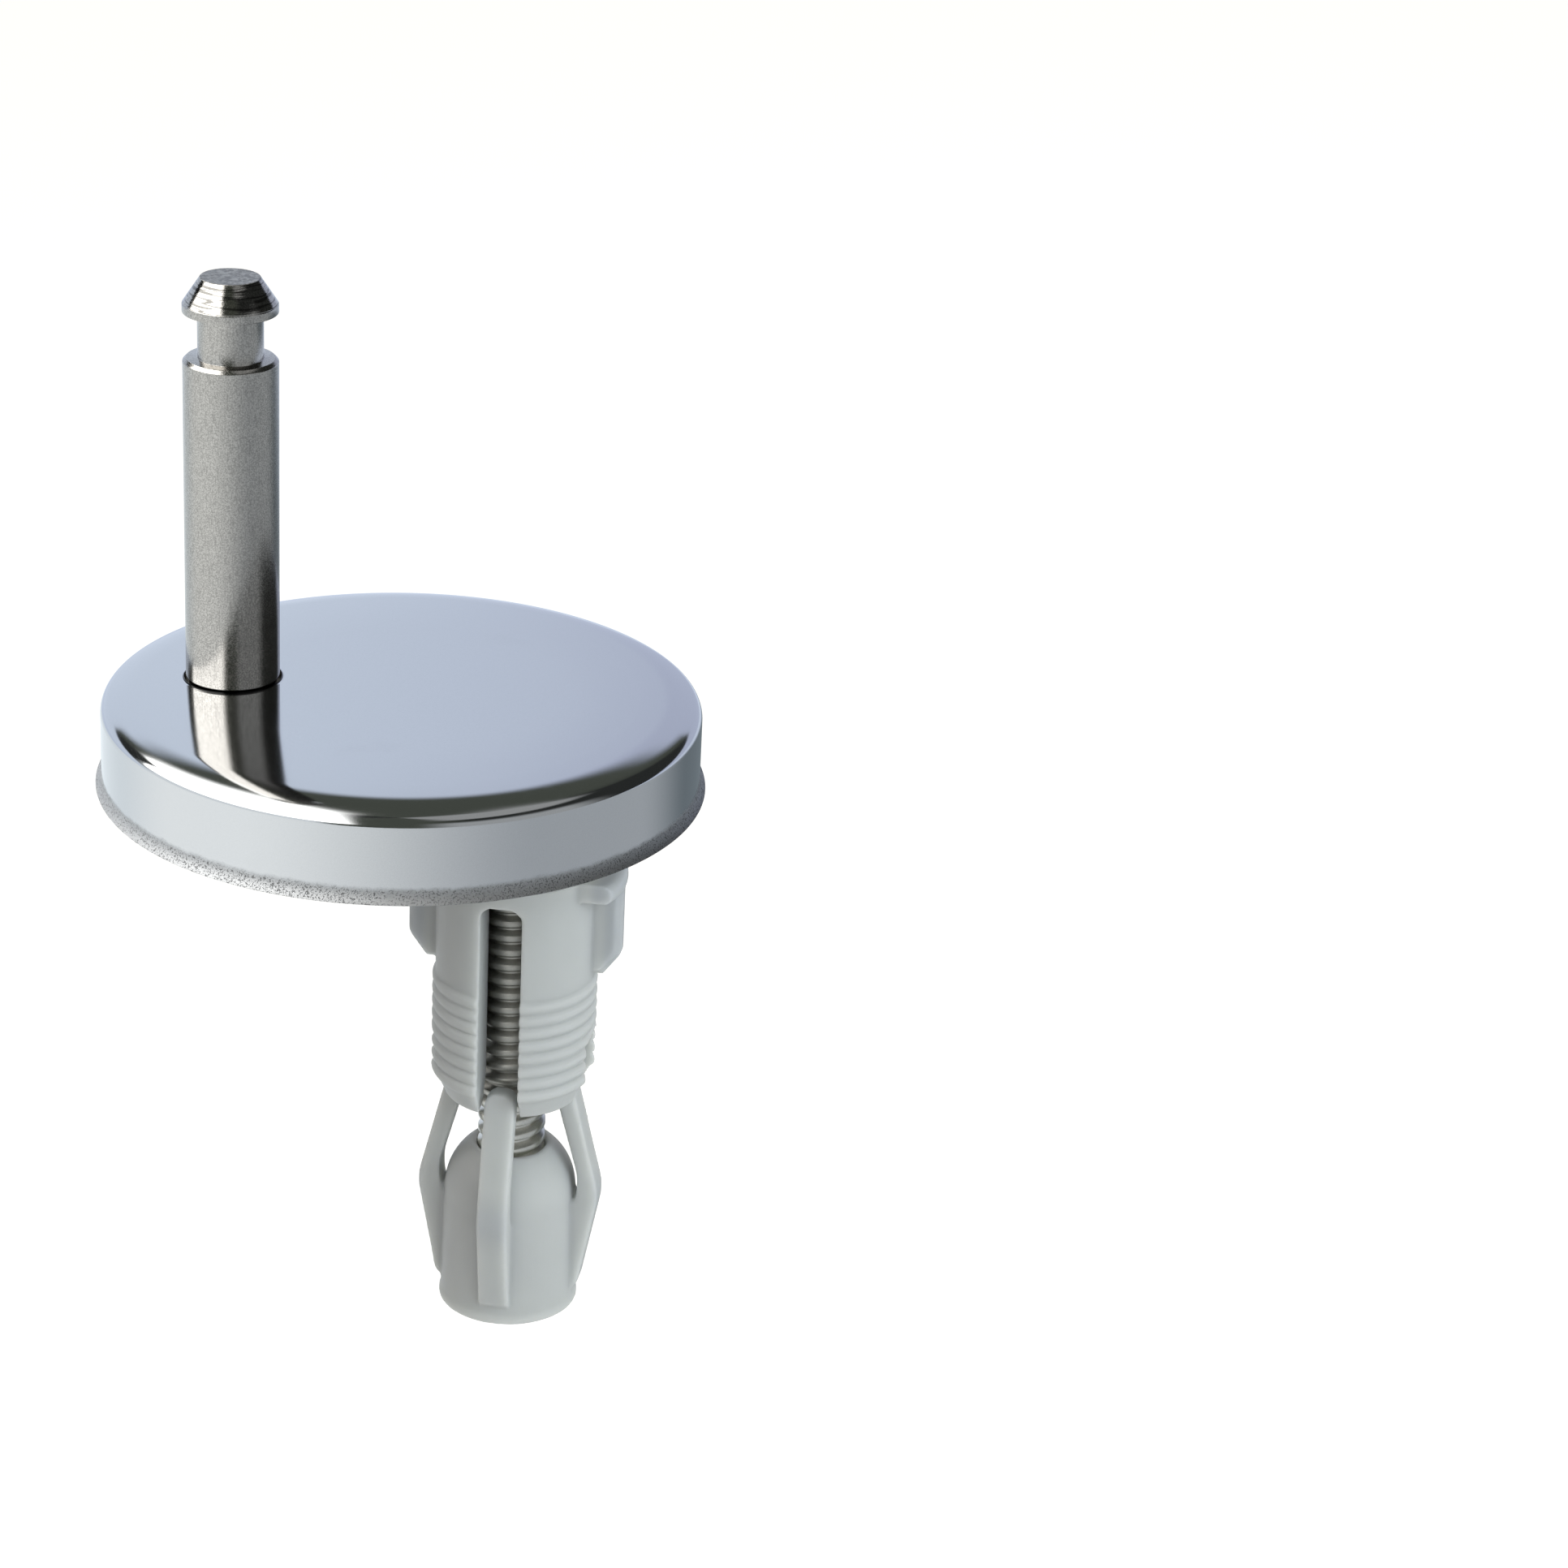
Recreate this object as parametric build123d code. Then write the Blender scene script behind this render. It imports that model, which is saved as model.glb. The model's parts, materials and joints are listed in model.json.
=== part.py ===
from build123d import *
import os
from math import cos, radians, sin, sqrt

os.makedirs("parts", exist_ok=True)

# Concealed toilet seat hinge, one side, in millimetres.
# The origin is the middle of the fixing hole at the top face of the china.
# +Z runs up along the pin, and +X runs from the pin towards the fixing screw.

# Places along the slot line, in from the cover's wall
pin_from_wall = 10.85
screw_from_wall = 15.45

# Stack between the china and the cover
pad_thick = 1.0
floor_thick = 1.6
slider_thick = 1.0
washer_thick = 0.8
head_height = 2.0
head_clear = 1.6
rim_clear = 0.3

# Pressed cover
cover_wall_r = 25.65
cover_sheet = 0.5
cover_corner_r = 1.1
crown_flat_r = 14.0
crown_slope = 3.0
shoulder_r = 9.0
shoulder_slope = 20.0
lip_flare = 0.55
lip_height = 1.2
pin_hole_clear = 0.17

# Turned pin
pin_r = 4.0
foot_r = 3.75
foot_show = 0.15
journal_length = 28.35
shoulder_chamfer = 0.3
neck_r = 2.75
neck_length = 3.95
head_band_height = 0.7
head_cone_height = 2.25
head_tip_r = 2.5

# Moulded base plate and its pad
base_clear = 0.35
wall_thick = 1.6
base_edge_chamfer = 1.6
boss_wall = 3.0
boss_clear = 0.02
pin_seat_thick = 2.6
rib_thick = 1.2
rib_drop = 2.0
rib_count = 6
rib_first_angle = 30
rib_step_angle = 24
grip_count = 6
grip_r = 0.6
grip_clear = 0.08
grip_margin = 2.0
pad_inset = 0.4
collar_recess = 0.8
collar_clear = 0.5

# Screw that holds the pin from below
pin_screw_r = 1.95
pin_screw_clear = 0.05
pin_screw_length = 8.0
pin_screw_head_r = 3.8
pin_screw_head_height = 1.85
pin_screw_sink = 0.1

# Fixing screw, its washer and the slider under it
screw_r = 3.0
screw_length = 50.0
screw_end_chamfer = 0.8
screw_head_r = 5.3
screw_head_round = 1.2
cross_width = 1.2
cross_span = 5.6
cross_depth = 1.1
washer_r = 6.0
washer_clear = 0.2
slider_size = 12.8
slider_corner_r = 2.0
slider_clear = 0.15
slot_clear = 0.25
slot_travel_in = 6.2
slot_travel_out = 1.8
guide_thick = 1.4
guide_height = 2.4

# Nylon sleeve of the plug
plug_drop = 6.8
plug_turn = -3.5
collar_r = 9.65
collar_thick = 1.75
collar_half_width = 3.5
collar_round = 0.8
barrel_r = 7.0
barrel_plain = 8.55
ridge_count = 8
ridge_pitch = 1.235
ridge_crest_r = 7.28
ridge_root_r = 6.85
nose_height = 1.9
nose_r = 6.0
sleeve_bore_clear = 0.35
mouth_r = 4.5
mouth_depth = 2.4
slot_width = 3.65
slot_corner_r = 1.2
slot_bridge = 1.6
side_slot_rise = 4.5
fin_r = 9.5
fin_side = 5.85
fin_height = 8.0
fin_foot_r = 7.9
fin_corner_r = 1.6
fin_thick = 2.0
fin_bevel = 0.5

# Nylon expansion nut
tip_engagement = 1.9
tip_screw_clear = 0.7
tip_thick = 1.8
tip_corner_r = 1.1
arm_side_clear = 0.45
arm_drop = 11.4
arm_knee_r = 8.3
arm_knee_round = 6.0
arm_knee_thick = 1.75
arm_root_drop = 12.9
arm_foot_drop = 21.2
arm_foot_r = 6.45
arm_foot_round = 1.0
dome_gap = 5.4
dome_top_r = 3.6
dome_mid_r = 5.05
dome_mid_drop = 1.6
dome_r = 5.85
dome_height = 5.0
skirt_step = 0.12
skirt_drop = 6.4
skirt_foot_r = 6.1
nut_height = 15.6
foot_ring_height = 0.8
foot_ring_r = 6.25
nut_bore_clear = 0.08
core_r = 4.6
core_depth = 3.0

# Levels and places that follow from the sizes above
floor_top = pad_thick + floor_thick
slider_top = floor_top + slider_thick
washer_top = slider_top + washer_thick
cover_ceiling = washer_top + head_height + head_clear
cover_top = cover_ceiling + cover_sheet
cover_height = cover_top - rim_clear
centre_x = screw_from_wall - cover_wall_r
pin_x = centre_x + pin_from_wall - cover_wall_r
cover_inner_r = cover_wall_r - cover_sheet
base_r = cover_inner_r - base_clear
pin_seat = pad_thick + pin_seat_thick
journal_low = cover_top + foot_show
shoulder = journal_low + journal_length
neck_top = shoulder + neck_length
head_band = neck_top + head_band_height
pin_top = head_band + head_cone_height
slider_half = slider_size / 2
collar_top = -plug_drop
collar_under = collar_top - collar_thick
ridge_start = collar_under - barrel_plain
nose_start = ridge_start - ridge_count * ridge_pitch
sleeve_bottom = nose_start - nose_height
tip_top = sleeve_bottom + tip_engagement
dome_top = sleeve_bottom - dome_gap
nut_bottom = dome_top - nut_height
beyond = 1.0


def column(radius, low, high, x=0.0, y=0.0):
    """A round post from one level to another."""
    post = Cylinder(radius, high - low, align=(Align.CENTER, Align.CENTER, Align.MIN))
    return Pos(x, y, low) * post


def block(size_x, size_y, low, high, x=0.0, y=0.0):
    """A square post from one level to another."""
    post = Box(size_x, size_y, high - low, align=(Align.CENTER, Align.CENTER, Align.MIN))
    return Pos(x, y, low) * post


def turned(outline):
    """Spin an outline of radius and height about the Z axis."""
    face = make_face(outline)
    return revolve(Plane.XZ * face, Axis.Z)


def long_hole(half_width, low, high):
    """A round-ended opening that follows the screw along its whole travel."""
    run = slot_travel_in + slot_travel_out
    middle = (slot_travel_out - slot_travel_in) / 2
    hole = block(run, 2 * half_width, low, high, middle)
    for end_x in (-slot_travel_in, slot_travel_out):
        hole += column(half_width, low, high, end_x)
    return hole


def crown(wall_r):
    """Where the shoulder starts and ends, and the radii of the slow curve, shoulder and corner."""
    inset = cover_wall_r - wall_r
    corner_r = max(cover_corner_r - inset, cover_sheet)
    bend_r = shoulder_r - inset
    end = wall_r - corner_r + corner_r * sin(radians(shoulder_slope))
    start = end - bend_r * (sin(radians(shoulder_slope)) - sin(radians(crown_slope)))
    slow_r = (start - crown_flat_r) / sin(radians(crown_slope))
    return start, end, slow_r, bend_r, corner_r


def crown_drop(reach, wall_r):
    """How far the crowned top has dropped at a distance from the middle."""
    start, _, slow_r, bend_r, _ = crown(wall_r)
    drop = slow_r - sqrt(slow_r**2 - (min(reach, start) - crown_flat_r) ** 2)
    if reach > start:
        across = reach - start + bend_r * sin(radians(crown_slope))
        drop += bend_r * cos(radians(crown_slope)) - sqrt(bend_r**2 - across**2)
    return drop


def cup(wall_r, height, flare_r):
    """A crowned round body with a soft shoulder, a small corner and a flared foot."""
    start, end, _, _, corner_r = crown(wall_r)
    outline = Line((0, 0), (0, height))
    outline += Line((0, height), (crown_flat_r, height))
    for first, last in ((crown_flat_r, start), (start, end)):
        reaches = (first, (first + last) / 2, last)
        outline += ThreePointArc(*[(reach, height - crown_drop(reach, wall_r)) for reach in reaches])
    corner_x = wall_r - corner_r
    corner_top = height - crown_drop(end, wall_r)
    corner_y = corner_top - corner_r * cos(radians(shoulder_slope))
    corner_mid = radians(45 + shoulder_slope / 2)
    outline += ThreePointArc(
        (end, corner_top),
        (corner_x + corner_r * sin(corner_mid), corner_y + corner_r * cos(corner_mid)),
        (wall_r, corner_y),
    )
    outline += Line((wall_r, corner_y), (wall_r, lip_height))
    outline += TangentArc((wall_r, lip_height), (flare_r, 0), tangent=(0, -1))
    outline += Line((flare_r, 0), (0, 0))
    return turned(outline)


# The base plate's outer edge just meets the underside of the cover
base_top = cover_ceiling - crown_drop(base_r - base_edge_chamfer, cover_inner_r)


def cover_disc():
    """Pressed steel cup that hides the base plate."""
    flare_r = cover_wall_r + lip_flare
    outside = cup(cover_wall_r, cover_height, flare_r)
    inside = cup(cover_inner_r, cover_height - cover_sheet, flare_r - cover_sheet)
    shell = Pos(centre_x, 0, rim_clear) * (outside - inside)
    return shell - column(pin_r + pin_hole_clear, cover_ceiling - beyond, cover_top + beyond, pin_x)


def hinge_pin():
    """Turned pin with a press-fit foot, a snap neck and a coned head."""
    outline = Polyline(
        (0, pin_seat),
        (foot_r - shoulder_chamfer, pin_seat),
        (foot_r, pin_seat + shoulder_chamfer),
        (foot_r, journal_low),
        (pin_r, journal_low),
        (pin_r, shoulder - shoulder_chamfer),
        (pin_r - shoulder_chamfer, shoulder),
        (neck_r, shoulder),
        (neck_r, neck_top),
        (pin_r, neck_top),
        (pin_r, head_band),
        (head_tip_r, pin_top),
        (0, pin_top),
        close=True,
    )
    tapped_end = pad_thick + pin_screw_sink + pin_screw_length + beyond
    tapped = column(pin_screw_r + pin_screw_clear, pin_seat - beyond, tapped_end)
    return Pos(pin_x, 0, 0) * (turned(outline) - tapped)


def channel_walls():
    """Rectangular fence that guides the slider along the slot."""
    reach = slider_half + slider_clear
    low_x = -slot_travel_in - reach
    high_x = slot_travel_out + reach
    middle = (low_x + high_x) / 2
    inner = block(high_x - low_x, 2 * reach, floor_top, cover_ceiling, middle)
    outer = block(
        high_x - low_x + 2 * guide_thick,
        2 * (reach + guide_thick),
        pad_thick,
        floor_top + guide_height,
        middle,
    )
    return outer, inner


def base_ribs(top):
    """Radial stiffening ribs between the wall and the middle."""
    ribs = Part()
    length = base_r - wall_thick / 2
    rib = block(length, rib_thick, pad_thick, top, length / 2)
    for index in range(rib_count):
        angle = rib_first_angle + index * rib_step_angle
        ribs += Rot(0, 0, angle) * rib
        ribs += Rot(0, 0, -angle) * rib
    return Pos(centre_x, 0, 0) * ribs


def grip_ribs():
    """Small upright ribs round the wall on which the cover grips."""
    ribs = Part()
    place_r = cover_inner_r - grip_clear - grip_r
    for index in range(grip_count):
        angle = radians((index + 0.5) * 360 / grip_count)
        x = centre_x + place_r * cos(angle)
        y = place_r * sin(angle)
        ribs += column(grip_r, pad_thick + lip_height, base_top - grip_margin, x, y)
    return ribs


def base_plate():
    """Moulded plate with the pin's boss, the slider's channel and the slot."""
    plate = column(base_r, pad_thick, base_top, centre_x)
    top_edge = plate.edges().group_by(Axis.Z)[-1]
    plate = chamfer(top_edge, base_edge_chamfer)
    plate -= column(base_r - wall_thick - base_edge_chamfer, floor_top, cover_ceiling + beyond, centre_x)
    channel, chamber = channel_walls()
    plate += base_ribs(base_top - rib_drop) + channel
    plate += column(foot_r + boss_wall, pad_thick, base_top, pin_x)
    plate += grip_ribs()
    plate -= chamber
    plate -= long_hole(screw_r + slot_clear, 0, floor_top + beyond)
    plate -= long_hole(collar_r + collar_clear, 0, pad_thick + collar_recess)
    plate -= column(foot_r + boss_clear, pin_seat, cover_ceiling + beyond, pin_x)
    plate -= column(pin_screw_r + pin_screw_clear, 0, pin_seat + beyond, pin_x)
    return plate - pin_screw_head(pin_screw_clear, pad_thick + pin_screw_sink)


def pin_screw_head(clear, low):
    """Countersunk head at the pin's axis, with its flat side down."""
    outline = Polyline(
        (0, -beyond),
        (pin_screw_head_r + clear, -beyond),
        (pin_screw_head_r + clear, 0),
        (pin_screw_r + clear, pin_screw_head_height),
        (0, pin_screw_head_height),
        close=True,
    )
    return Pos(pin_x, 0, low) * turned(outline)


def cross_recess(low, high):
    """Two crossed slots for a screwdriver."""
    slot = block(cross_span, cross_width, low, high)
    return slot + Rot(0, 0, 90) * slot


def pin_screw():
    """Countersunk screw from below into the pin."""
    low = pad_thick + pin_screw_sink
    head = pin_screw_head(0, low) - column(pin_screw_head_r + beyond, low - 2 * beyond, low, pin_x)
    shank = column(pin_screw_r, low, low + pin_screw_length, pin_x)
    recess = Pos(pin_x, 0, 0) * cross_recess(low - beyond, low + cross_depth)
    return head + shank - recess


def base_pad():
    """Soft pad that keeps the metal and plastic off the china."""
    pad = column(base_r - pad_inset, 0, pad_thick, centre_x)
    return pad - long_hole(collar_r + collar_clear, -beyond, pad_thick + beyond)


def slot_slider():
    """Square clamp plate that slides in the channel."""
    face = Rectangle(slider_size, slider_size)
    face = fillet(face.vertices(), slider_corner_r)
    plate = Pos(0, 0, floor_top) * extrude(face, slider_thick)
    return plate - column(screw_r + washer_clear, 0, slider_top + beyond)


def flat_washer():
    """Round washer under the screw's head."""
    washer = column(washer_r, slider_top, washer_top)
    return washer - column(screw_r + washer_clear, 0, washer_top + beyond)


def fixing_screw():
    """Long screw with a low round head, its thread shown by its outer size."""
    head_top = washer_top + head_height
    head = column(screw_head_r, washer_top, head_top)
    head = fillet(head.edges().group_by(Axis.Z)[-1], screw_head_round)
    end = washer_top - screw_length
    shank = column(screw_r, end, washer_top)
    shank = chamfer(shank.edges().group_by(Axis.Z)[0], screw_end_chamfer)
    return head + shank - cross_recess(head_top - cross_depth, head_top + beyond)


def sleeve_outline():
    """Half section of the sleeve: barrel, ridges and coned nose."""
    outline = Line((0, sleeve_bottom), (0, collar_top))
    outline += Line((0, collar_top), (barrel_r, collar_top))
    outline += Line((barrel_r, collar_top), (barrel_r, ridge_start))
    outline += Line((barrel_r, ridge_start), (ridge_root_r, ridge_start))
    for index in range(ridge_count):
        high = ridge_start - index * ridge_pitch
        outline += ThreePointArc(
            (ridge_root_r, high),
            (ridge_crest_r, high - ridge_pitch / 2),
            (ridge_root_r, high - ridge_pitch),
        )
    outline += Line((ridge_root_r, nose_start), (nose_r, sleeve_bottom))
    outline += Line((nose_r, sleeve_bottom), (0, sleeve_bottom))
    return outline


def sleeve_slot(top):
    """A slot from the sleeve's lower end up to a level, on the +X side."""
    length = collar_r + beyond
    height = top - sleeve_bottom + slot_corner_r + beyond
    face = Rectangle(slot_width, height, align=(Align.CENTER, Align.MAX))
    face = fillet(face.vertices(), slot_corner_r)
    return Pos(0, 0, top) * extrude(Plane.YZ * face, length)


def sleeve_fin():
    """One flat fin under the collar that stops the plug from turning."""
    high = collar_under + collar_thick / 2
    face = make_face(
        Polyline(
            (0, high),
            (fin_r, high),
            (fin_r, collar_under - fin_side),
            (fin_foot_r, collar_under - fin_height),
            (0, collar_under - fin_height),
            close=True,
        )
    )
    corner = face.vertices().sort_by(Axis.X)[-2:].sort_by(Axis.Y)[0]
    face = fillet(corner, fin_corner_r)
    fin = extrude(Plane.XZ * face, fin_thick / 2, both=True)
    sides = fin.faces().filter_by(Axis.Y)
    return chamfer(sides.edges(), fin_bevel)


def plug_sleeve():
    """Nylon sleeve that sits in the china's hole and is spread by the nut."""
    sleeve = turned(sleeve_outline())
    collar = column(collar_r, collar_under, collar_top)
    collar = fillet(collar.edges().filter_by(GeomType.CIRCLE), collar_round)
    sleeve += collar & block(2 * collar_r, 2 * collar_half_width, collar_under, collar_top)
    for turn in (0, 180):
        sleeve += Rot(0, 0, turn) * sleeve_fin()
    sleeve -= column(screw_r + sleeve_bore_clear, sleeve_bottom - beyond, collar_top + beyond)
    mouth = Polyline(
        (0, sleeve_bottom),
        (mouth_r, sleeve_bottom),
        (screw_r + sleeve_bore_clear, sleeve_bottom + mouth_depth),
        (0, sleeve_bottom + mouth_depth),
        close=True,
    )
    sleeve -= turned(mouth)
    slot_tops = (tip_top + side_slot_rise, collar_top - slot_bridge)
    for index in range(4):
        sleeve -= Rot(0, 0, 90 * index) * sleeve_slot(slot_tops[index % 2])
    return Rot(0, 0, plug_turn) * sleeve


def nut_body():
    """Domed body of the nut with its bored middle and hollow foot."""
    dome_end = dome_top - dome_height
    skirt = dome_top - skirt_drop
    ring = nut_bottom + foot_ring_height
    outline = Line((0, nut_bottom), (0, dome_top))
    outline += Line((0, dome_top), (dome_top_r, dome_top))
    outline += ThreePointArc(
        (dome_top_r, dome_top), (dome_mid_r, dome_top - dome_mid_drop), (dome_r, dome_end)
    )
    outline += Line((dome_r, dome_end), (dome_r + skirt_step, skirt))
    outline += Line((dome_r + skirt_step, skirt), (skirt_foot_r, ring))
    outline += Line((skirt_foot_r, ring), (foot_ring_r, ring - (foot_ring_r - skirt_foot_r)))
    outline += Line((foot_ring_r, ring - (foot_ring_r - skirt_foot_r)), (foot_ring_r, nut_bottom))
    outline += Line((foot_ring_r, nut_bottom), (0, nut_bottom))
    return turned(outline)


def nut_arm():
    """One bowed arm on the +X side, from the nut's foot to its tip."""
    tip_inner_r = screw_r + tip_screw_clear
    knee = tip_top - arm_drop
    root = tip_top - arm_root_drop
    face = make_face(
        Polyline(
            (tip_inner_r, tip_top),
            (tip_inner_r + tip_thick, tip_top),
            (arm_knee_r, knee),
            (arm_foot_r, tip_top - arm_foot_drop),
            (core_r, tip_top - arm_foot_drop),
            (core_r, root),
            (dome_r, root),
            (arm_knee_r - arm_knee_thick, knee + arm_knee_thick / 2),
            close=True,
        )
    )
    knees = face.vertices().filter_by_position(Axis.X, arm_knee_r - arm_knee_thick - 0.01, arm_knee_r)
    knees = knees.filter_by_position(Axis.Y, knee - 0.01, tip_top - arm_drop / 2)
    face = fillet(knees, arm_knee_round)
    foot = face.vertices().filter_by_position(Axis.Y, nut_bottom, tip_top - arm_foot_drop + 0.01)
    face = fillet(foot.sort_by(Axis.X)[-1], arm_foot_round)
    arm = extrude(Plane.XZ * face, slot_width / 2 - arm_side_clear, both=True)
    tip_edges = arm.edges().filter_by(Axis.X).group_by(Axis.Z)[-1]
    return fillet(tip_edges, tip_corner_r)


def expansion_nut():
    """Nylon nut that climbs the screw and spreads the sleeve."""
    nut = nut_body()
    for index in range(4):
        nut += Rot(0, 0, 90 * index) * nut_arm()
    nut -= column(screw_r + nut_bore_clear, nut_bottom - beyond, dome_top + beyond)
    nut -= column(core_r, nut_bottom - beyond, nut_bottom + core_depth)
    return Rot(0, 0, plug_turn) * nut


pieces = {
    "cover_disc": cover_disc,
    "hinge_pin": hinge_pin,
    "base_plate": base_plate,
    "pin_screw": pin_screw,
    "base_pad": base_pad,
    "slot_slider": slot_slider,
    "flat_washer": flat_washer,
    "fixing_screw": fixing_screw,
    "plug_sleeve": plug_sleeve,
    "expansion_nut": expansion_nut,
}
for name, make in pieces.items():
    export_step(make(), f"parts/{name}.step")
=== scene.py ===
"""Toilet seat hinge: the finish of its steel, nylon and rubber, its screw thread and a plain studio.

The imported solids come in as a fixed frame. Each operator makes one piece, or a group of like
pieces, over the solids that it stands for. The stage operator adds the floor, light and camera.
"""

import json
from math import asin, atan2, cos, pi, radians, sin

import bmesh
import bpy
from bpy.props import FloatProperty, FloatVectorProperty, IntProperty, PointerProperty
from mathutils import Matrix, Vector


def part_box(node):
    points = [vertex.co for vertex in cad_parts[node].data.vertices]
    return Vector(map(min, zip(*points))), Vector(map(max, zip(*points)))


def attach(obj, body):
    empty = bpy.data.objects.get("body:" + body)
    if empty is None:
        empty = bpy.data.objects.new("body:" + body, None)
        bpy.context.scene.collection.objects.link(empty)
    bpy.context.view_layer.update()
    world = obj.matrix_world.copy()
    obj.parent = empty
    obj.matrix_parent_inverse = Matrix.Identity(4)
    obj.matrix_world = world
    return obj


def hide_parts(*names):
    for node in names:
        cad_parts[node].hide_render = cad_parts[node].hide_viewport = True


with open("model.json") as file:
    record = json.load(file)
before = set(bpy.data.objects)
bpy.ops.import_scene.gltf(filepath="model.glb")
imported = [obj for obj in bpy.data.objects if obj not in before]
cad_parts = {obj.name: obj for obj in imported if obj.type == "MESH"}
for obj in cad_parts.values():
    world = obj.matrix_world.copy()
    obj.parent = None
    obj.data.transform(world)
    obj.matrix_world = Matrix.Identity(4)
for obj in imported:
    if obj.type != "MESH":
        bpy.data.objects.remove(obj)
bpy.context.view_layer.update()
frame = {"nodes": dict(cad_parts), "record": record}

bl_info = {
    "name": "Toilet seat hinge",
    "version": (1, 0, 0),
    "blender": (4, 5, 0),
    "location": "3D View > Sidebar > Seat hinge",
    "description": "Dresses the packed solids of a concealed toilet seat hinge",
    "category": "Object",
}

MM = 0.001
FULL_TURN = 2 * pi
DEGREES = 180 / pi

# Angles from which an edge is shaded sharp, or rounded on cut sheet and on turned steel
SHARP_EDGE = radians(35)
CUT_EDGE = radians(40)
TURNED_EDGE = radians(20)

# Gaps within which points of a solid, or of the thread, are joined
SAME_POINT = 0.0005 * MM
SAME_TOOTH = 0.002 * MM

# Linear colours of the sky, of the room in the gloss and of the floor
WHITE = (1.0, 1.0, 1.0)
SKY_TINT = (1.04, 1.0, 0.94)
DARK_WALL = (0.03, 0.033, 0.032)
GREY_WALL = (0.085, 0.095, 0.08)
BACKDROP_LEFT = (0.82, 0.92, 1.08)
BACKDROP_RIGHT = (0.59, 0.65, 0.83)
CEILING = (0.42, 0.43, 0.43)
WING = (0.46, 0.48, 0.49)
LOW_PANEL = (1.0, 1.06, 1.10)
CARD = (4.3, 4.3, 4.2)
PAPER = (0.86, 0.86, 0.86)
FLOOR_FRONT_LEFT = (1.22, 1.27, 1.28)
FLOOR_FRONT_RIGHT = (0.50, 0.54, 0.575)
FLOOR_BACK_LEFT = (0.95, 1.03, 1.08)
FLOOR_BACK_RIGHT = (0.18, 0.215, 0.24)
FLOOR_FAR = (0.74, 0.83, 1.0)

BODY_OF = {node: body for body, nodes in frame["record"]["behaviour"]["bodies"].items() for node in nodes}

cover_low, cover_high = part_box("cover_disc")
pin_low, pin_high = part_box("hinge_pin")
cover_x = (cover_low.x + cover_high.x) / 2
pin_x = (pin_low.x + pin_high.x) / 2
washer_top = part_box("flat_washer")[1].z
sleeve_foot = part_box("plug_sleeve")[0].z
screw_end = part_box("fixing_screw")[0].z
pin_screw_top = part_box("pin_screw")[1].z
nut_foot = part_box("expansion_nut")[0].z


def length(name, description, millimetres):
    """A size, given in millimetres and kept in metres."""
    return FloatProperty(
        name=name,
        description=description,
        default=millimetres * MM,
        precision=5,
        subtype="DISTANCE",
        unit="LENGTH",
    )


def turn(name, description, degrees):
    """An angle, given in degrees and kept in radians."""
    return FloatProperty(
        name=name,
        description=description,
        default=radians(degrees),
        subtype="ANGLE",
        unit="ROTATION",
    )


def share(name, description, value):
    """A plain factor."""
    return FloatProperty(name=name, description=description, default=value, min=0.0)


def count(name, description, value, least=0):
    """A whole number."""
    return IntProperty(name=name, description=description, default=value, min=least)


def colour(name, description, value):
    """A linear colour."""
    return FloatVectorProperty(
        name=name,
        description=description,
        default=value,
        size=3,
        min=0.0,
        max=1.0,
        subtype="COLOR",
    )


class CoverSizes(bpy.types.PropertyGroup):
    """Sizes of the pressed cover that its box doesn't give."""

    wall_radius: length("Wall radius", "Radius of the upright wall", 25.65)
    sheet: length("Sheet", "Thickness of the pressed sheet", 0.5)
    corner_radius: length("Corner radius", "Outer radius of the pressed corner", 1.1)
    crown_flat: length("Crown flat", "Radius of the flat middle inside the slow curve", 14.0)
    crown_slope: turn("Crown slope", "Slope where the slow curve meets the shoulder", 3.0)
    shoulder_radius: length("Shoulder radius", "Outer radius of the soft shoulder", 9.0)
    shoulder_slope: turn("Shoulder slope", "Slope where the shoulder meets the corner", 20.0)
    crown_reach: length("Crown reach", "Radius of the part laid out round the pin's hole", 20.2)
    crown_join: length("Crown join", "Gap bridged between that part and the turned section", 0.25)
    lip_height: length("Lip height", "Height over which the wall flares out", 1.2)
    hole_radius: length("Hole radius", "Radius of the hole for the pin", 4.17)
    edge_round: length("Edge round", "Radius on the sheet's cut edges", 0.09)
    steps: count("Steps", "Steps round the cover", 288, 12)
    crown_rings: count("Crown rings", "Rings laid out round the pin's hole", 18, 2)
    outer_steps: count("Outer steps", "Steps on each outer curve of the shoulder", 12, 2)
    inner_steps: count("Inner steps", "Steps on each inner curve, and on the lip", 8, 2)


class PinSizes(bpy.types.PropertyGroup):
    """Sizes of the turned pin that its box doesn't give."""

    foot_radius: length("Foot radius", "Radius of the part pressed into the base", 3.75)
    foot_show: length("Foot show", "Height of the slim foot above the cover", 0.15)
    chamfer: length("Chamfer", "Chamfer on the shoulder", 0.3)
    neck_radius: length("Neck radius", "Radius of the snap neck", 2.75)
    neck_length: length("Neck length", "Height of the snap neck", 3.95)
    band_height: length("Band height", "Height of the head's straight band", 0.7)
    cone_height: length("Cone height", "Height of the head's cone", 2.25)
    tip_radius: length("Tip radius", "Radius of the flat at the top", 2.5)
    tapped_radius: length("Tapped radius", "Radius of the hole for the pin's screw", 2.0)
    tapped_spare: length("Tapped spare", "Length of that hole beyond the screw", 1.0)
    edge_round: length("Edge round", "Radius left on the turned edges", 0.05)
    steps: count("Steps", "Steps round the pin", 192, 12)


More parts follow.
